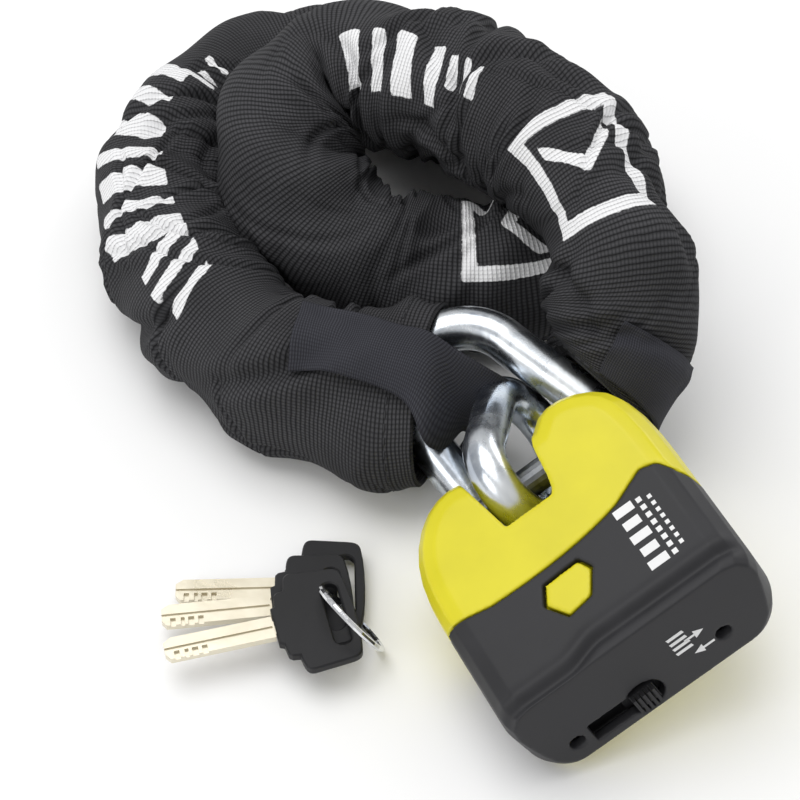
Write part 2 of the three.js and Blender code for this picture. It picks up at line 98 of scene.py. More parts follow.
def frames_of(line):
    """Tangent, level side direction and upward direction along a line."""
    tangent = unit(np.gradient(line, axis=0))
    side = unit(np.cross([0, 0, 1.0], tangent))
    return tangent, side, np.cross(tangent, side)


def smooth(t):
    t = np.clip(t, 0, 1)
    return t * t * (3 - 2 * t)


# ------------------------------------------------------------ mesh helpers
def to_object(name, points, faces, uv=None, shade=True):
    mesh = bpy.data.meshes.new(name)
    mesh.from_pydata((np.asarray(points) / 1000).tolist(), [], [list(map(int, f)) for f in faces])
    if uv is not None:
        layer = mesh.uv_layers.new(name="cloth")
        layer.data.foreach_set("uv", np.asarray(uv, np.float32).reshape(-1))
    mesh.validate()
    if shade:
        mesh.polygons.foreach_set("use_smooth", [True] * len(mesh.polygons))
    mesh.update()
    obj = bpy.data.objects.new(name, mesh)
    scene.collection.objects.link(obj)
    return obj


def grid_faces(rows, cols, wrap_cols=False, wrap_rows=False):
    i = np.arange(rows if wrap_rows else rows - 1)
    j = np.arange(cols if wrap_cols else cols - 1)
    a, b = np.meshgrid(i, j, indexing="ij")
    a, b = a.ravel(), b.ravel()
    a2, b2 = (a + 1) % rows, (b + 1) % cols
    return np.stack([a * cols + b, a2 * cols + b, a2 * cols + b2, a * cols + b2], 1)


def grid_uv(u, v):
    """Cloth coordinates of the corners of every face of a grid."""
    i, j = np.meshgrid(np.arange(len(u) - 1), np.arange(len(v) - 1), indexing="ij")
    i, j = i.ravel(), j.ravel()
    corners = ((0, 0), (1, 0), (1, 1), (0, 1))
    return np.stack([np.stack([u[i + di], v[j + dj]], 1) for di, dj in corners], 1)


def place(obj, body, node=None):
    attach(obj, body)
    if node:
        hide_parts(node)
    return obj


def dress(obj, material):
    obj.data.materials.clear()
    obj.data.materials.append(material)
    return obj


# ------------------------------------------------------------ materials
def new_material(name):
    material = bpy.data.materials.new(name)
    material.use_nodes = True
    nodes, links = material.node_tree.nodes, material.node_tree.links
    shader = nodes["Principled BSDF"]
    return material, nodes, links, shader


class Build:
    """Short forms for the node types that the materials use."""

    def __init__(self, nodes, links):
        self.nodes, self.links = nodes, links

    def put(self, value, socket):
        if isinstance(value, (int, float, tuple)):
            socket.default_value = value
        else:
            self.links.new(value, socket)

    def math(self, kind, first, second, clamp=False):
        node = self.nodes.new("ShaderNodeMath")
        node.operation = kind
        node.use_clamp = clamp
        self.put(first, node.inputs[0])
        self.put(second, node.inputs[1])
        return node.outputs[0]

    def times(self, first, second, clamp=False):
        return self.math("MULTIPLY", first, second, clamp)

    def plus(self, first, second):
        return self.math("ADD", first, second)

    def noise(self, scale, detail, rough, distortion=0.0):
        node = self.nodes.new("ShaderNodeTexNoise")
        node.inputs["Scale"].default_value = scale
        node.inputs["Detail"].default_value = detail
        node.inputs["Roughness"].default_value = rough
        node.inputs["Distortion"].default_value = distortion
        self.links.new(self.place(), node.inputs["Vector"])
        return node.outputs["Fac"]

    def place(self):
        return self.nodes.new("ShaderNodeTexCoord").outputs["Object"]

    def span(self, value, low, high, to_low, to_high):
        node = self.nodes.new("ShaderNodeMapRange")
        self.put(value, node.inputs["Value"])
        for end, limit in (("From Min", low), ("From Max", high), ("To Min", to_low), ("To Max", to_high)):
            node.inputs[end].default_value = limit
        return node.outputs[0]

    def colours(self, value, first, second):
        """A mix of two colours; sockets 6 and 7 are its two colour inputs and 2 its colour output."""
        node = self.nodes.new("ShaderNodeMix")
        node.data_type = "RGBA"
        self.put(value, node.inputs["Factor"])
        for socket, colour in ((6, first), (7, second)):
            self.put((*colour, 1) if isinstance(colour, tuple) else colour, node.inputs[socket])
        return node.outputs[2]

    def bump(self, height, strength, distance, normal=None):
        node = self.nodes.new("ShaderNodeBump")
        node.inputs["Strength"].default_value = strength
        node.inputs["Distance"].default_value = distance
        self.put(height, node.inputs["Height"])
        if normal is not None:
            self.links.new(normal, node.inputs["Normal"])
        return node.outputs[0]


def metal(name, dark, light, rough, scale, tint=None, grain=0.12):
    material, nodes, links, shader = new_material(name)
    b = Build(nodes, links)
    patch = b.noise(scale, 4, 0.6, distortion=0.4)
    fine = b.noise(scale * 22, 2, 0.5)
    mixed = b.span(patch, 0.35, 0.68, 0.0, 1.0)
    colour = b.colours(mixed, dark, light)
    if tint:
        blotch = b.span(b.noise(scale * 0.4, 2, 0.5), 0.5, 0.72, 0.0, 0.8)
        colour = b.colours(blotch, colour, tint)
    links.new(colour, shader.inputs["Base Color"])
    shader.inputs["Metallic"].default_value = 1.0
    links.new(b.span(patch, 0.3, 0.7, rough[0], rough[1]), shader.inputs["Roughness"])
    links.new(b.bump(fine, grain, 0.00008, b.bump(patch, 0.25, 0.0004)), shader.inputs["Normal"])
    return material


def plastic(name, dark, light, rough, grain_scale=2600, grain=0.25, coat=0.0):
    material, nodes, links, shader = new_material(name)
    b = Build(nodes, links)
    cloud = b.noise(55, 3, 0.55)
    grains = b.noise(grain_scale, 2, 0.6)
    links.new(b.colours(b.span(cloud, 0.3, 0.7, 0, 1), dark, light), shader.inputs["Base Color"])
    links.new(b.span(cloud, 0.3, 0.7, rough[0], rough[1]), shader.inputs["Roughness"])
    links.new(b.bump(grains, grain, 0.00006), shader.inputs["Normal"])
    shader.inputs["Specular IOR Level"].default_value = 0.3
    shader.inputs["Coat Weight"].default_value = coat
    shader.inputs["Coat Roughness"].default_value = 0.25
    return material


def woven(name, pitch, dark, light, depth, printed=False):
    """Ribs over a basket weave, `pitch` mm apart, on the cloth's own coordinates (in decimetres), with
    painted highlights on the thread tops and painted shade in the gaps between threads.
    """
    material, nodes, links, shader = new_material(name)
    b = Build(nodes, links)
    uv = nodes.new("ShaderNodeUVMap")
    uv.uv_map = "cloth"
    split = nodes.new("ShaderNodeSeparateXYZ")
    links.new(uv.outputs["UV"], split.inputs[0])
    wander = b.span(b.noise(140, 2, 0.5), 0, 1, -0.25, 0.25)
    u = b.plus(b.times(split.outputs[0], 100 / pitch), wander)
    v = b.plus(b.times(split.outputs[1], 100 / pitch), wander)
    across_u = b.math("ABSOLUTE", b.math("SINE", b.times(u, math.pi), 0.0), 0.0)
    across_v = b.math("ABSOLUTE", b.math("SINE", b.times(v, math.pi), 0.0), 0.0)
    cell = b.plus(b.math("FLOOR", u, 0.0), b.plus(b.math("FLOOR", v, 0.0), 4000))
    parity = b.math("MODULO", cell, 2)
    warp = b.times(b.math("POWER", across_v, 0.5), b.plus(0.55, b.times(across_u, 0.45)))
    weft = b.times(b.math("POWER", across_u, 0.5), b.plus(0.55, b.times(across_v, 0.45)))
    basket = b.plus(b.times(parity, warp), b.times(b.math("SUBTRACT", 1, parity), weft))
    rib = b.times(b.math("POWER", across_u, 0.7), b.plus(0.72, b.times(across_v, 0.28)))
    height = b.plus(b.times(rib, 0.62), b.times(basket, 0.38))
    threads = b.noise(2400, 2, 0.6)
    raised = b.plus(height, b.times(threads, 0.25))
    worn = b.span(b.noise(38, 3, 0.6), 0.3, 0.75, 0.75, 1.2)
    # painted light: the colour runs from `dark` in the gaps between threads (painted shade) to `light` on the
    # thread tops (painted highlight); `worn` varies it at random
    lit_tops_and_wear = b.times(b.math("POWER", b.times(raised, 0.8), 1.6), worn, clamp=True)
    colour = b.colours(lit_tops_and_wear, dark, light)
    if printed:
        mark = nodes.new("ShaderNodeAttribute")
        mark.attribute_name = "mark"
        edge = b.plus(mark.outputs["Fac"], b.span(b.noise(900, 2, 0.5), 0, 1, -0.35, 0.35))
        ink = b.span(edge, -0.12, 0.12, 0.0, 1.0)
        gaps = b.span(height, 0.12, 0.5, 0.45, 1.0)
        ink = b.times(ink, gaps, clamp=True)
        colour = b.colours(ink, colour, (0.82, 0.82, 0.83))
    links.new(colour, shader.inputs["Base Color"])
    shader.inputs["Roughness"].default_value = 0.78
    shader.inputs["Specular IOR Level"].default_value = 0.14
    links.new(b.bump(raised, 1.0, depth), shader.inputs["Normal"])
    return material


zinc = metal("bright_zinc", (0.42, 0.46, 0.52), (0.83, 0.86, 0.88), (0.16, 0.34), 75, (0.62, 0.68, 0.76))
dark_steel = metal("dark_steel", (0.10, 0.105, 0.115), (0.26, 0.27, 0.28), (0.3, 0.45), 120)
nickel = metal("nickel_silver", (0.70, 0.64, 0.50), (0.78, 0.73, 0.60), (0.26, 0.34), 60, grain=0.06)
ring_steel = metal("ring_steel", (0.6, 0.61, 0.63), (0.85, 0.86, 0.87), (0.14, 0.25), 200)
brass = metal("brass", (0.5, 0.38, 0.16), (0.78, 0.62, 0.3), (0.25, 0.4), 150)
yellow = plastic("yellow_paint", (0.61, 0.545, 0.010), (0.67, 0.60, 0.015), (0.36, 0.44), 1500, 0.12, 0.2)
grey = plastic("grey_plastic", (0.020, 0.020, 0.022), (0.028, 0.028, 0.031), (0.46, 0.58), 2200, 0.35)
black = plastic("black_plastic", (0.010, 0.010, 0.011), (0.016, 0.016, 0.018), (0.42, 0.55), 2600, 0.3)
white_ink = plastic("white_ink", (0.74, 0.74, 0.74), (0.8, 0.8, 0.8), (0.5, 0.6), 2600, 0.2)


def shade_inside_cover(material, origin, across, upward, back):
    """Painted shade: the body is coloured near black in the hollow behind the cover and beside the cover's
    edge, where shade falls.
    """
    nodes, links = material.node_tree.nodes, material.node_tree.links
    b, shader = Build(nodes, links), nodes["Principled BSDF"]
    away = nodes.new("ShaderNodeVectorMath")
    away.operation = "SUBTRACT"
    links.new(b.place(), away.inputs[0])
    away.inputs[1].default_value = origin

    def along(direction):
        node = nodes.new("ShaderNodeVectorMath")
        node.operation = "DOT_PRODUCT"
        links.new(away.outputs[0], node.inputs[0])
        node.inputs[1].default_value = direction
        return node.outputs["Value"]

    low = b.math("LESS_THAN", along(upward), 0.034)
    front = b.math("LESS_THAN", along(back), 0.0135)
    inner = b.math("GREATER_THAN", along(back), -0.0125)
    inside = b.times(b.times(low, front), inner)
    painted = shader.inputs["Base Color"].links[0].from_socket
    # the near-black colour mixed in here is painted shade, not the body's own colour
    links.new(b.colours(inside, painted, (0.012, 0.012, 0.013)), shader.inputs["Base Color"])


cloth = woven("sleeve_cloth", 1.05, (0.005, 0.005, 0.0058), (0.074, 0.074, 0.079), 0.00026, printed=True)
band = woven("strap_webbing", 0.7, (0.014, 0.014, 0.018), (0.056, 0.057, 0.068), 0.00012)
thread = plastic("sewing_thread", (0.02, 0.02, 0.022), (0.05, 0.05, 0.055), (0.7, 0.85))


# ------------------------------------------------------------ sleeve
COLS = 132  # points round the sleeve
FIRST_ANGLE = -math.pi / 2


def sleeve_layout():
    length, line = even(catmull(ROUTE, 24), 1.0)
    return length, line, *frames_of(line)


S, LINE, TAN, SIDE, UP = sleeve_layout()
TOTAL = S[-1]


def nearest(point):
    return S[np.argmin(np.linalg.norm(LINE - np.array(point), axis=1))]


def bend_angles():
    """Where the inside of the bend is, as an angle round the section."""
    turn = np.gradient(TAN, axis=0)
    turn = np.stack([np.convolve(turn[:, k], np.ones(15) / 15, "same") for k in range(3)], 1)
    return np.arctan2((turn * UP).sum(1), (turn * SIDE).sum(1))


INSIDE = bend_angles()


def turned(angle):
    """The same angle, between minus and plus half a turn."""
    return (angle + math.pi) % (2 * math.pi) - math.pi


def relief(s, angle):
    """How far the cloth stands in or out, in mm, at each point of the sleeve."""
    rng = np.random.default_rng(23)
    out = 0.9 * np.cos(2 * angle) * np.cos(2 * np.pi * s / 61.8)
    for _ in range(46):  # broad waves
        rate, lobes = rng.uniform(0.02, 0.085), rng.integers(0, 5)
        high = rng.uniform(0.08, 0.30)
        out = out + high * np.sin(rate * 2 * np.pi * s * 0.45 + lobes * angle + rng.uniform(0, 6.3))
    for _ in range(300):  # creases, most of them on the inside of the bend
        at = rng.uniform(0, TOTAL)
        near = int(np.clip(at, 0, len(S) - 1))
        if rng.random() < 0.62:
            facing = INSIDE[near] + rng.normal(0, 0.75)
        else:
            facing = rng.uniform(-math.pi, math.pi)
        lean = math.pi / 2 + rng.normal(0, 0.5)
        half, wide = rng.uniform(9, 34), rng.uniform(0.8, 2.8)
        deep = rng.uniform(0.6, 3.1)
        x, y = s - at, turned(angle - facing) * SIZE
        curl = rng.normal(0, 0.012)
        along = x * math.cos(lean) + y * math.sin(lean)
        across = -x * math.sin(lean) + y * math.cos(lean) + curl * along ** 2
        fade = np.exp(-(along / half) ** 4)
        out = out + fade * deep * (-np.exp(-(across / wide) ** 2)
                                   + 0.5 * np.exp(-((across - 2.1 * wide) / (1.5 * wide)) ** 2)
                                   + 0.4 * np.exp(-((across + 2.3 * wide) / (1.6 * wide)) ** 2))
    return np.clip(out, -4.8, 2.6)


# the mouth at the large ring is squeezed flat, tall and narrow, over its first stretch (mm)
MOUTH_TALL, MOUTH_LENGTH, MOUTH_RISE = unit([0.30, 0.80, 0.52]), 46.0, 3.0
TALLER, NARROWER = 0.25, 0.34
# the open mouth closes in a little
CLOSING_LENGTH, CLOSING = 22.0, 2.6
# above this height the floor does not change the cloth (mm)
FLOOR_REACH = 5.0

# the large ring, and the upper of its two bars
RING_AT = np.array([24.6, -35.4, 24.2])
RING_ALONG, RING_NORMAL = unit([0.71, -0.62, -0.33]), np.array([-0.16, -0.6, 0.78])
RING_NORMAL = unit(RING_NORMAL - RING_ALONG * (RING_NORMAL @ RING_ALONG))
RING_HALF_WIDTH = 19.3
BAR_AT = RING_AT + RING_HALF_WIDTH * np.cross(RING_NORMAL, RING_ALONG)
ABOVE_BAR = unit(np.cross(RING_ALONG, [-0.06, -0.66, 0.75]))
ABOVE_BAR = ABOVE_BAR * np.sign(ABOVE_BAR[0])
OVER_BAR = np.cross(ABOVE_BAR, RING_ALONG)
OVER_BAR = OVER_BAR * np.sign(OVER_BAR[2])


def slim(s):
    """The last turn is drawn a little thinner, with a waist before its last bulge."""
    last = smooth((s - nearest([33.4, 46.3, 59.5])) / 30)
    waist = np.exp(-((s - nearest([51.4, 10, 55])) / 7.5) ** 2)
    return 1 - 0.05 * last - 0.11 * waist


def clear_of_bar(points, weight):
    """The cloth of the open end lies behind the upper bar of the large ring."""
    away = points - BAR_AT
    side, over = away @ ABOVE_BAR, away @ OVER_BAR
    limit = -1.5 + 8.6 * smooth((over + 10) / 9)
    soft = limit + 1.5 * np.log1p(np.exp(np.clip((side - limit) / 1.5, -30, 30)))
    return points + ABOVE_BAR * ((soft - side) * weight)[..., None]


def rest_on_floor(z, low):
    """Heights below the floor's reach are drawn up to no less than `low`, smoothly."""
    give = FLOOR_REACH - low
    below = np.minimum(z, FLOOR_REACH) - FLOOR_REACH
    return np.where(z < FLOOR_REACH, low + give * np.exp(below / give), z)


def sleeve_points(inset=0.0, rows=None):
    """The cloth's surface at some rows along the sleeve, and the angles round it."""
    rows = np.arange(len(S)) if rows is None else rows
    angle = np.linspace(FIRST_ANGLE, FIRST_ANGLE + 2 * math.pi, COLS, endpoint=False)
    s, a = S[rows][:, None], angle[None, :]
    bulge = relief(s, np.broadcast_to(a, (len(rows), COLS)))
    calm = smooth(np.minimum(s / 14, (TOTAL - s) / 14)) * 0.8 + 0.2
    radius = (SIZE + bulge * calm - inset) * slim(s)
    side, up, tan = SIDE[rows][:, None, :], UP[rows][:, None, :], TAN[rows][:, None, :]
    ring = side * np.cos(a)[..., None] + up * np.sin(a)[..., None]
    tall = unit(MOUTH_TALL - tan * (tan @ MOUTH_TALL)[..., None])
    thin = np.cross(tan, tall)
    squeeze = (1 - smooth(s / MOUTH_LENGTH))[..., None]
    in_tall = (ring * tall).sum(-1, keepdims=True)
    in_thin = (ring * thin).sum(-1, keepdims=True)
    flat = ring + tall * in_tall * TALLER * squeeze - thin * in_thin * NARROWER * squeeze
    points = LINE[rows][:, None, :] + flat * radius[..., None] + tall * MOUTH_RISE * squeeze
    points = points - ring * CLOSING * (1 - smooth((TOTAL - s) / CLOSING_LENGTH))[..., None]
    points = clear_of_bar(points, smooth((s - TOTAL + 52) / 14))
    points[..., 2] = rest_on_floor(points[..., 2], 0.5 + 0.25 * np.sin(s * 0.21) * np.cos(3 * a))
    return points, angle


NO_MARK = -9.0
HEM_ROWS = 38
CLOTH_THICKNESS = 1.3
# where the prints lie: distance along the sleeve, and angle round it
MARKS = {
    "far_left": (164, math.radians(102)), "front": (499, math.radians(130)),
    "front_small": (522, math.radians(124)), "right": (571, math.radians(104)),
    "inner": (361, math.radians(84)),
}


def mark_field(s, arc_for):
    """Signed distance, in mm, into the white printed shapes: plain bars, frames and chevrons."""
    best = np.full(s.shape, NO_MARK)

    def bars(s0, a0, widths, gap, half, lean):
        nonlocal best
        y = arc_for(a0)
        x = s - s0 + lean * y
        start = -(sum(widths) + gap * (len(widths) - 1)) / 2
        for w in widths:
            middle = start + w / 2
            best = np.maximum(best, np.minimum(w / 2 - np.abs(x - middle), half - np.abs(y)))
            start += w + gap

    def frame_mark(s0, a0, half, wide):
        nonlocal best
        y = arc_for(a0)
        x = s - s0
        box = half - np.maximum(np.abs(x), np.abs(y) * 0.96)
        outline = wide / 2 - np.abs(box - wide / 2)
        best = np.maximum(best, outline)
        chevron = wide * 0.42 - np.abs(np.abs(y) * 0.8 + x - 2.0) / 1.28
        best = np.maximum(best, np.minimum(chevron, box - wide * 1.5))

    # left outer turn, two stretches
    first, last = nearest([-67, 27, 20]), nearest([-70, 88, 20])
    bars((first + last) / 2 + 4, math.radians(58), [7, 4, 7, 4, 7, 4, 7], 5.4, 12, 0.34)
    bars(nearest([-60, 15, 20]), math.radians(66), [3.4, 3.4, 3.4], 3.6, 9, -0.30)
    bars(*MARKS["far_left"], [2.2, 2.2, 2.2], 2.4, 4.5, 0.3)
    # front of the upper turn
    bars(*MARKS["front"], [6.4, 4, 6.4, 4], 4.4, 9, -0.25)
    bars(*MARKS["front_small"], [2.6, 2.6, 2.6, 2.6], 2.6, 5, -0.25)
    # upper right, and again on the inside of the lower turn, half under the upper one
    frame_mark(*MARKS["right"], 16.0, 3.8)
    frame_mark(*MARKS["inner"], 15.0, 3.8)
    # stretches that the front does not show
    bars(nearest([2, 114, 20]), math.radians(70), [7, 4, 7, 4, 7], 5.4, 11, 0.34)
    return best


def make_sleeve():
    """The cloth, with its edge turned in at both mouths; also gives back the outer surface."""
    outside, angle = sleeve_points()
    rows = len(outside)
    arc = np.arange(COLS + 1) * (2 * math.pi * SIZE / COLS) / 100
    points, uv = [outside.reshape(-1, 3)], [grid_uv(S / 100, arc)]
    faces = [grid_faces(rows, COLS, wrap_cols=True)]
    turn = np.broadcast_to(angle[None, :], (rows, COLS))
    marks = [mark_field(S[:, None] + 0 * turn, lambda middle: turned(turn - middle) * SIZE).ravel()]
    base = rows * COLS
    for at_start in (True, False):
        turned_in = np.arange(HEM_ROWS) if at_start else np.arange(rows - 1, rows - 1 - HEM_ROWS, -1)
        inner, _ = sleeve_points(CLOTH_THICKNESS, turned_in)
        edge = turned_in[0]
        outward = -TAN[edge] if at_start else TAN[edge]
        lip = (outside[edge] + inner[0]) / 2 + outward * 0.7
        block = np.concatenate([outside[edge][None], lip[None], inner], 0)
        quads = grid_faces(len(block), COLS, wrap_cols=True)
        corners = grid_uv(np.r_[0, 0.7, 1.4 + np.arange(len(block) - 2)] / 100, arc)
        if at_start:
            quads, corners = quads[:, ::-1], corners[:, ::-1]
        points.append(block.reshape(-1, 3))
        faces.append(quads + base)
        uv.append(corners)
        marks.append(np.full(len(block) * COLS, NO_MARK))
        base += len(block) * COLS
    obj = to_object("woven_sleeve", np.concatenate(points) + CENTRE, np.concatenate(faces),
                    np.concatenate(uv).reshape(-1, 2))
    layer = obj.data.attributes.new("mark", "FLOAT", "POINT")
    layer.data.foreach_set("value", np.concatenate(marks).astype(np.float32))
    return dress(obj, cloth), outside


sleeve, SURFACE = make_sleeve()
place(sleeve, "chain", node="sleeve")


# ------------------------------------------------------------ stitches and hems
def capsule_rows(starts, ends, radius=0.28, sides=6):
    """Small round stitches from one list of points to another."""
    starts, ends = np.asarray(starts), np.asarray(ends)
    points, faces = [], []
    for a, b in zip(starts, ends):
        t = unit(b - a)
        x = unit(np.cross(t, [0.3, 0.2, 0.93]))
        y = np.cross(t, x)
        base = len(points)
        for f, r in ((0, 0.35), (0.18, 1), (0.82, 1), (1, 0.35)):
            c = a + (b - a) * f
            for k in range(sides):
                w = 2 * math.pi * k / sides
                points.append(c + (x * math.cos(w) + y * math.sin(w)) * radius * r)
        for ring in range(3):
            for k in range(sides):
                k2 = (k + 1) % sides
                faces.append([base + ring * sides + k, base + ring * sides + k2,
                              base + (ring + 1) * sides + k2, base + (ring + 1) * sides + k])
        faces.append([base + k for k in reversed(range(sides))])
        faces.append([base + 3 * sides + k for k in range(sides)])
    return points, faces


def hem_stitches(name, row):
    ring = SURFACE[row] + CENTRE
    centre = ring.mean(0)
    closed = np.vstack([ring, ring[:1]])
    dist = np.r_[0, np.cumsum(np.linalg.norm(np.diff(closed, axis=0), axis=1))]
    at = lambda d: np.stack([np.interp(d, dist, closed[:, k]) for k in range(3)], 1)
    begin = np.arange(0, dist[-1] - 3.2, 3.6)
    lift = lambda p: p + unit(p - centre) * 0.12
    points, faces = capsule_rows(lift(at(begin)), lift(at(begin + 2.5)))
    return dress(to_object(name, points, faces), thread)


for name, row in (("hem_stitch_a", 7), ("hem_stitch_b", len(S) - 8)):
    stitches = place(hem_stitches(name, row), "chain")


# ------------------------------------------------------------ rings and links
def loop_piece(name, wire, arc, arc_far, straight, at, along, normal, steps=120, sides=28):
    """A closed loop of round wire: two half circles, of radius arc and arc_far, and what joins them."""
    x = unit(along)
    n = unit(normal - x * (normal @ x))
    y = np.cross(n, x)
    line = []
    for k in range(steps):
        w = 2 * math.pi * k / steps + math.pi / steps
        radius, shift = (arc_far, straight / 2) if math.cos(w) > 0 else (arc, -straight / 2)
        line.append([math.cos(w) * radius + shift, math.sin(w) * radius])
    line = np.array(line)
    tangent = unit(np.roll(line, -1, 0) - np.roll(line, 1, 0))
    outward = np.stack([tangent[:, 1], -tangent[:, 0]], 1)
    points = []
    for p, o in zip(line, outward):
        for k in range(sides):
            w = 2 * math.pi * k / sides
            q = p + o * math.cos(w) * wire / 2
            points.append(at + x * q[0] + y * q[1] + n * math.sin(w) * wire / 2)
    loop = to_object(name, np.array(points) + CENTRE, grid_faces(steps, sides, True, True))
    dress(loop, zinc)
    return loop


ring = loop_piece("large_end_ring", 12.0, 17.0, 21.0, 30.0, RING_AT, RING_ALONG, RING_NORMAL)
place(ring, "chain", node="end_ring")
link = loop_piece("thick_lock_link", 11.0, 12.5, 12.5, 23.0, np.array([28.0, -48.7, 28.5]),
                  np.array([0.16, 0.93, -0.34]), np.array([0.71, 0.13, 0.69]))
place(link, "chain", node="lock_link")


# ------------------------------------------------------------ straps
def on_sleeve(grid, clear):
    """Lifts any point of a strap that is in the sleeve to just outside the cloth."""
    flat = grid.reshape(-1, 3)
    k = np.argmin(np.linalg.norm(flat[:, None] - LINE[None, :110], axis=2), axis=1)
    away = flat - LINE[k]
    ahead = (away * TAN[k]).sum(1)
    out = away - TAN[k] * ahead[:, None]
    turn = np.arctan2((out * UP[k]).sum(1), (out * SIDE[k]).sum(1))
    col = np.round((turn - FIRST_ANGLE) / (2 * math.pi) * COLS).astype(int) % COLS
    cloth_at = SURFACE[k, col] - LINE[k]
    cloth_at = np.linalg.norm(cloth_at - TAN[k] * (cloth_at * TAN[k]).sum(1)[:, None], axis=1)
    lift = np.clip(cloth_at + clear - np.linalg.norm(out, axis=1), 0, 14) * smooth((ahead + 9) / 7)
    return (flat + unit(out) * lift[:, None]).reshape(grid.shape)


def evened(grid):
    """Takes the small bumps out of a strap's surface."""
    for axis, size in ((0, 11), (1, 7)):
        kernel = np.hanning(size + 2)[1:-1] / np.hanning(size + 2).sum()
        edge = [(0, 0)] * 3
        edge[axis] = (size // 2, size // 2)
        grid = np.apply_along_axis(lambda v: np.convolve(v, kernel, "valid"), axis,
                                   np.pad(grid, edge, mode="reflect", reflect_type="odd"))
    return grid


def strap_object(name, points, s, widths):
    """A closed strap from its cross-sections, their distances along it and the widths round one of them."""
    rows, around = points.shape[:2]
    faces = [list(quad) for quad in grid_faces(rows, around, wrap_cols=True)]
    faces.append(list(range(around)))
    faces.append([(rows - 1) * around + k for k in reversed(range(around))])
    cap = np.stack([np.zeros(around), widths / 100], 1)
    sides = grid_uv(s / 100, np.r_[widths, widths[0]] / 100).reshape(-1, 2)
    obj = to_object(name, points.reshape(-1, 3) + CENTRE, faces, np.concatenate([sides, cap, cap[::-1]]))
    dress(obj, band)
    return obj


def ribbon(name, line, wide_dirs, wide, thick=1.5):
    """A flat woven strap along a line of points, closed at its ends, with rounded edges."""
    dense = catmull(line, 14)
    dirs = unit(catmull(wide_dirs, 14))
    s, line2 = even(dense, 0.8)
    raw = np.r_[0, np.cumsum(np.linalg.norm(np.diff(dense, axis=0), axis=1))]
    dirs = unit(np.stack([np.interp(s, raw, dirs[:, k]) for k in range(3)], 1))
    tangent = unit(np.gradient(line2, axis=0))
    dirs = unit(dirs - tangent * (dirs * tangent).sum(1, keepdims=True))
    half = wide / 2
    across = np.linspace(-1, 1, 25)
    rounded = thick / 2 * (1 - 0.75 * np.abs(across) ** 12)
    widths = np.r_[across, across[::-1]] * half
    heights = np.r_[rounded, -rounded[::-1]]
    wave = 0.25 * np.sin(s * 0.33)[:, None] * np.cos(widths / half * 2.2)[None, :]
    flat = line2[:, None, :] + dirs[:, None, :] * (across * half)[None, :, None]
    for clear in (2.6, 1.5):
        flat = evened(on_sleeve(flat, clear))
    face = unit(np.cross(np.gradient(flat, axis=0), np.gradient(flat, axis=1)))
    both = np.concatenate([flat, flat[:, ::-1]], 1)
    out = np.concatenate([face, face[:, ::-1]], 1)
    points = both + out * (heights[None, :] + wave)[..., None]
    return strap_object(name, points, s, widths), s[-1]


# the strap's centre line, and the direction of its width at each point of it
a_line = [[-31, -16.5, 38], [-22, -19.5, 41], [-10, -25, 42.4], [2, -29.5, 41],
          [12, -32, 36], [19.5, -30.5, 28], [22, -26, 18.5], [16, -22, 9]]
a_wide = [[0.1, 0.82, 0.56], [0.14, 0.80, 0.58], [0.15, 0.62, 0.77], [0.3, 0.45, 0.84],
          [0.5, 0.3, 0.8], [0.6, 0.3, 0.74], [0.68, 0.45, 0.57], [0.66, 0.5, 0.56]]
strap_a, long_a = ribbon("strap_at_ring", a_line, a_wide, 18.5)
place(strap_a, "chain", node="strap_a")


def surface_band(name, row, wide, a_from, a_to, skew, lift=0.7, thick=1.3):
    """A strap that lies on the sleeve's own surface, across it."""
    angles = np.linspace(a_from, a_to, 150)
    widths = np.linspace(-wide / 2, wide / 2, 21)
    points = np.zeros((len(angles), len(widths), 3))
    normal = np.zeros_like(points)
    for i, w in enumerate(angles):
        r = row + widths + skew * min(a_to - w, 1.75)
        low = np.clip(np.floor(r).astype(int), 0, len(S) - 2)
        part = (r - low)[:, None]
        col = ((w - FIRST_ANGLE) / (2 * math.pi) * COLS) % COLS
        first, second, share = int(col) % COLS, (int(col) + 1) % COLS, col - int(col)
        before, after = (SURFACE[k, first] * (1 - share) + SURFACE[k, second] * share for k in (low, low + 1))
        points[i] = before * (1 - part) + after * part
        normal[i] = unit(points[i] - (LINE[low] * (1 - part) + LINE[low + 1] * part))
    # webbing bridges the folds under it
    kernel = np.hanning(13) / np.hanning(13).sum()
    padded = np.pad(points, ((6, 6), (0, 0), (0, 0)), mode="edge")
    points = np.apply_along_axis(lambda v: np.convolve(v, kernel, "valid"), 0, padded)
    outer, inner = points + normal * (lift + thick), points + normal * lift
    obj = strap_object(name, np.concatenate([outer, inner[:, ::-1]], 1), (angles - a_from) * SIZE,
                       np.r_[widths, widths[::-1]])
    return obj, (a_to - a_from) * (SIZE + lift)


strap_b, long_b = surface_band("strap_at_open_end", nearest([53.6, -16.5, 35.3]), 17.5,
                               math.radians(-150), math.radians(86), skew=5.0)
place(strap_b, "chain", node="strap_b")


# ------------------------------------------------------------ lock
def softened(name, node, voxel, rounds, material):
    """The same shape with its edges and facets worn smooth, as moulded or cast."""
    obj = bpy.data.objects.new(name, NODES[node].data.copy())
    scene.collection.objects.link(obj)
    obj.data.materials.clear()
    remesh = obj.modifiers.new("even", "REMESH")
    remesh.mode = "VOXEL"
    remesh.voxel_size = voxel
    relax = obj.modifiers.new("relax", "SMOOTH")
    relax.factor = 0.5
    relax.iterations = rounds
    bpy.context.view_layer.update()
    made = obj.evaluated_get(bpy.context.evaluated_depsgraph_get())
    mesh = bpy.data.meshes.new_from_object(made)
    obj.modifiers.clear()
    obj.data = mesh
    mesh.polygons.foreach_set("use_smooth", [True] * len(mesh.polygons))
    place(dress(obj, material), "lock", node=node)
    return obj


softened("painted_lock_body", "lock_body", 0.0005, 5, yellow)
cover_piece = softened("moulded_lock_cover", "lock_cover", 0.0004, 3, grey)

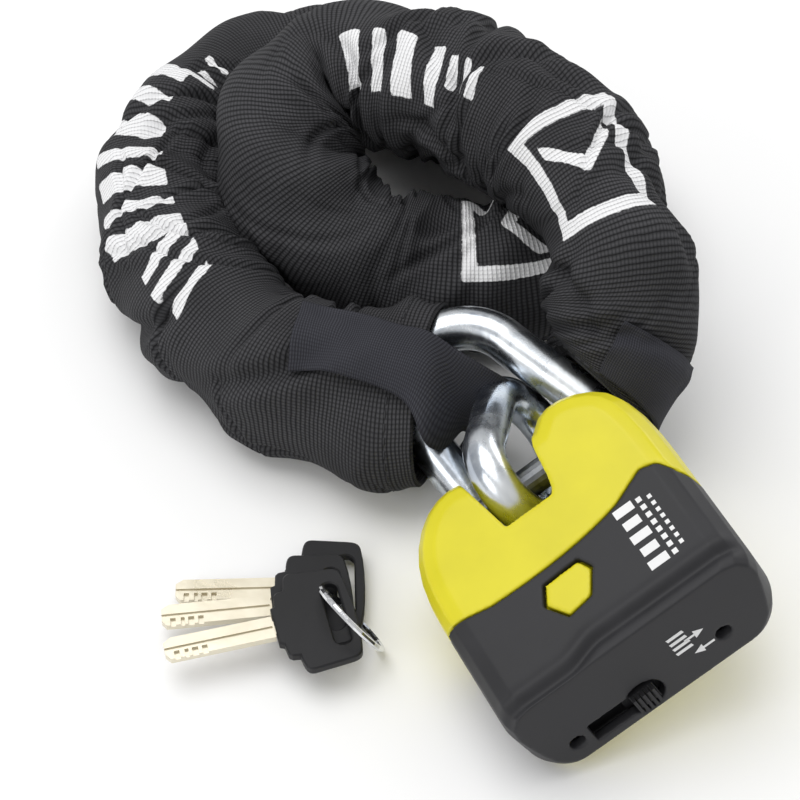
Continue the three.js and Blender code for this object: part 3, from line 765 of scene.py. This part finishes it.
# the lock's own directions: its width, its height away from the keyhole face, and its back
W = unit([0.805, 0.385, 0.451])
H = np.array([-0.456, 0.888, 0.057])
H = unit(H - W * (H @ W))
B = np.cross(H, W)
ORIGIN = np.array([58.5, -120.9, 27.7])
# paints shade on the yellow body in the hollow behind the cover
shade_inside_cover(yellow, ((ORIGIN + CENTRE) / 1000).tolist(), W.tolist(), H.tolist(), B.tolist())


def press_cove(obj):
    """A soft hollow runs across the cover, just above the edge of the keyhole face."""
    mesh = obj.data
    points = np.empty(len(mesh.vertices) * 3)
    mesh.vertices.foreach_get("co", points)
    points = points.reshape(-1, 3)
    local = points * 1000 - CENTRE - ORIGIN
    x, y, z = local @ W, local @ B, local @ H
    middle = 9.6 + 2.6 * smooth((x + 16) / 12)
    deep = 1.25 * np.exp(-((z - middle) / 1.5) ** 2) - 0.45 * np.exp(-((z - middle - 3.2) / 1.6) ** 2)
    deep = deep * smooth((36.3 - np.abs(x)) / 4) * (y < -9)
    mesh.vertices.foreach_set("co", (points + B * deep[:, None] / 1000).ravel())
    mesh.update()


press_cove(cover_piece)


INK_THICKNESS = 0.08


def lock_point(x, y, z):
    return ORIGIN + CENTRE + W * x + B * y + H * z


def decal(name, shapes, to_point):
    """Flat printed shapes on the cover."""
    points, faces = [], []
    for shape in shapes:
        base = len(points)
        n = len(shape)
        for lift in (0.0, INK_THICKNESS):
            points += [to_point(x, z, lift) for x, z in shape]
        faces.append([base + n + k for k in range(n)])
        faces.append([base + k for k in reversed(range(n))])
        faces += [[base + k, base + (k + 1) % n, base + n + (k + 1) % n, base + n + k] for k in range(n)]
    ink = place(dress(to_object(name, points, faces, shade=False), white_ink), "lock")


def bar_shape(x, z, wide, high, lean=0.0):
    corners = ((-1, -1), (1, -1), (1, 1), (-1, 1))
    return [(x + (i * wide + j * lean * high) / 2, z + j * high / 2) for i, j in corners]


def front_face(x, z, lift):
    return lock_point(x, -16.03 - lift, z)


mark = [bar_shape(17.7, 19.6 + 4.1 * k, 5.4 - 0.8 * (k % 2), 2.4) for k in range(5)]
mark += [bar_shape(22.2, 19.2 + 2.4 * k, 1.4, 1.4) for k in range(8)]
mark += [bar_shape(24.8, 20.4 + 2.1 * k, 1.1, 1.1) for k in range(8)]
decal("front_bars", mark, front_face)

SLOPE = math.atan2(8, 31)  # of the keyhole face


def key_face(x, y, lift):
    rise = (15 - y) * math.tan(SLOPE)
    return lock_point(x, y - math.sin(SLOPE) * lift, rise - math.cos(SLOPE) * (lift + 0.03))


arrow = [bar_shape(10, -6.5 + 2.0 * k, 4.6, 1.0, 0.25) for k in range(4)]
arrow += [[(14.0, -4.4), (14.0, -1.6), (16.6, -3.0)], bar_shape(12.6, -3.0, 3.0, 0.7)]
arrow += [[(14.0, 1.4), (14.0, 4.2), (11.4, 2.8)], bar_shape(15.6, 2.8, 3.2, 0.7)]
decal("turn_arrows", arrow, key_face)

# the pieces that keep the CAD shape
looks = {
    black: ["dust_cover"] + [f"key_{i}_head" for i in (1, 2, 3)],
    nickel: [f"key_{i}_blade" for i in (1, 2, 3)],
    brass: ["key_barrel", "barrel_housing"],
    dark_steel: ["drive_pinion", "bolt_rack", "locking_bolt", "cover_screw_left", "cover_screw_right"],
    ring_steel: ["split_ring"],
    zinc: [name for name in NODES if name.startswith("chain_link")],
}
for material, names in looks.items():
    for name in names:
        dress(NODES[name], material)
for name in ("split_ring", "locking_bolt", "key_barrel", "barrel_housing"):
    NODES[name].data.polygons.foreach_set("use_smooth", [True] * len(NODES[name].data.polygons))

# ------------------------------------------------------------ studio
floor_material, _, _, shader = new_material("studio_floor")
shader.inputs["Base Color"].default_value = (0.93, 0.93, 0.93, 1)
shader.inputs["Roughness"].default_value = 0.9
shader.inputs["Specular IOR Level"].default_value = 0.1
half = 4000
corners = [[-half, -half, 0], [half, -half, 0], [half, half, 0], [-half, half, 0]]
floor = to_object("studio_floor", corners, [[0, 1, 2, 3]])
dress(floor, floor_material)

world = bpy.data.worlds.new("studio")
world.use_nodes = True
world.node_tree.nodes["Background"].inputs["Color"].default_value = (1, 1, 1, 1)
world.node_tree.nodes["Background"].inputs["Strength"].default_value = 0.6
scene.world = world
scene.view_settings.view_transform = "Standard"


def area(name, at, aim, size, power):
    data = bpy.data.lights.new(name, "AREA")
    data.shape = "RECTANGLE"
    data.size, data.size_y = size
    data.energy = power
    obj = bpy.data.objects.new(name, data)
    obj.location = at
    obj.rotation_euler = (Vector(aim) - Vector(at)).to_track_quat("-Z", "Y").to_euler()
    scene.collection.objects.link(obj)


area("soft_top", (-0.25, 0.1, 1.0), (0, 0, 0), (0.9, 0.9), 6)
area("front_left", (-0.8, -0.7, 0.7), (0, 0, 0.02), (0.7, 0.5), 3)
area("back_right", (0.7, 0.8, 0.6), (0, 0, 0.02), (0.5, 0.4), 2.4)
